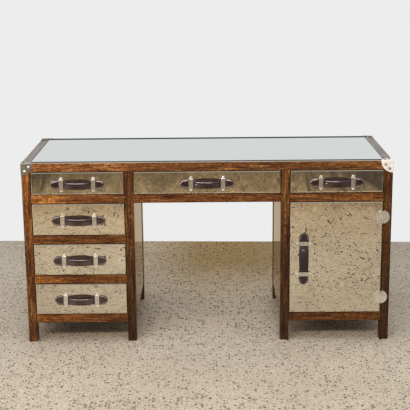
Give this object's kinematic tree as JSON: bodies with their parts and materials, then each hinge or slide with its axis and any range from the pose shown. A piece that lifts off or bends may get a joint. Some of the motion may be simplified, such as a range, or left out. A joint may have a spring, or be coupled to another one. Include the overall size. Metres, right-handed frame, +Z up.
{
  "type": "kneehole desk",
  "caption": "Kneehole writing desk in dark wood faced with mirror glass, with sliding drawers, a cupboard door, bowed leather handles and metal trunk corners.",
  "frame": {"origin": "on the floor under the middle of the desk's whole extent, handles and corner nails included", "axes": "+X to the right as seen from the front, +Y to the back, +Z up; the drawers and the door face -Y"},
  "size_m": [1.5092, 0.6156, 0.7646],
  "materials": {
    "frame_wood": "satin lacquered dark stain",
    "panel_wood": "dark stain",
    "inside_wood": "oiled",
    "mirror_glass": "silvered glass",
    "leather": "padded and stitched",
    "fitting_metal": "worn nickel",
    "catch_metal": "plain"
  },
  "bodies": {
    "carcass": {"front_posts": "frame_wood", "rear_posts": "frame_wood", "top_front_rail": "frame_wood", "top_rear_rail": "frame_wood", "top_side_rails": "frame_wood", "front_rails": "frame_wood", "rear_rails": "frame_wood", "top_board": "panel_wood", "side_boards": "panel_wood", "back_panels": "panel_wood", "pedestal_floors": "panel_wood", "top_mirror": "mirror_glass", "side_mirrors": "mirror_glass", "drawer_runners": "inside_wood", "drawer_stops": "inside_wood", "hinge_post_leaves": "fitting_metal", "hinge_pins": "fitting_metal", "corner_brackets": "fitting_metal", "corner_nails": "fitting_metal", "door_catch": "catch_metal"},
    "drawer_top_left": {"drawer_top_left_box": "inside_wood", "drawer_top_left_mirror": "mirror_glass", "drawer_top_left_strap": "leather", "drawer_top_left_loops": "fitting_metal", "drawer_top_left_nails": "fitting_metal"},
    "drawer_top_centre": {"drawer_top_centre_box": "inside_wood", "drawer_top_centre_mirror": "mirror_glass", "drawer_top_centre_strap": "leather", "drawer_top_centre_loops": "fitting_metal", "drawer_top_centre_nails": "fitting_metal"},
    "drawer_top_right": {"drawer_top_right_box": "inside_wood", "drawer_top_right_mirror": "mirror_glass", "drawer_top_right_strap": "leather", "drawer_top_right_loops": "fitting_metal", "drawer_top_right_nails": "fitting_metal"},
    "drawer_left_upper": {"drawer_left_upper_box": "inside_wood", "drawer_left_upper_mirror": "mirror_glass", "drawer_left_upper_strap": "leather", "drawer_left_upper_loops": "fitting_metal", "drawer_left_upper_nails": "fitting_metal"},
    "drawer_left_middle": {"drawer_left_middle_box": "inside_wood", "drawer_left_middle_mirror": "mirror_glass", "drawer_left_middle_strap": "leather", "drawer_left_middle_loops": "fitting_metal", "drawer_left_middle_nails": "fitting_metal"},
    "drawer_left_lower": {"drawer_left_lower_box": "inside_wood", "drawer_left_lower_mirror": "mirror_glass", "drawer_left_lower_strap": "leather", "drawer_left_lower_loops": "fitting_metal", "drawer_left_lower_nails": "fitting_metal"},
    "door": {"door_board": "panel_wood", "door_mirror": "mirror_glass", "door_strap": "leather", "door_loops": "fitting_metal", "door_nails": "fitting_metal", "door_hinge_leaves": "fitting_metal", "door_strike": "catch_metal"}
  },
  "joints": [
    {"name": "top_left_slide", "type": "slide", "parent": "carcass", "child": "drawer_top_left", "axis": [0, -1, 0], "range_m": [0, 0.35]},
    {"name": "top_centre_slide", "type": "slide", "parent": "carcass", "child": "drawer_top_centre", "axis": [0, -1, 0], "range_m": [0, 0.35]},
    {"name": "top_right_slide", "type": "slide", "parent": "carcass", "child": "drawer_top_right", "axis": [0, -1, 0], "range_m": [0, 0.35]},
    {"name": "left_upper_slide", "type": "slide", "parent": "carcass", "child": "drawer_left_upper", "axis": [0, -1, 0], "range_m": [0, 0.35]},
    {"name": "left_middle_slide", "type": "slide", "parent": "carcass", "child": "drawer_left_middle", "axis": [0, -1, 0], "range_m": [0, 0.35]},
    {"name": "left_lower_slide", "type": "slide", "parent": "carcass", "child": "drawer_left_lower", "axis": [0, -1, 0], "range_m": [0, 0.35]},
    {"name": "door_hinge", "type": "hinge", "parent": "carcass", "child": "door", "pos_m": [0.7135, -0.2813, 0.3565], "axis": [0, 0, 1], "range_deg": [0, 170]}
  ]
}
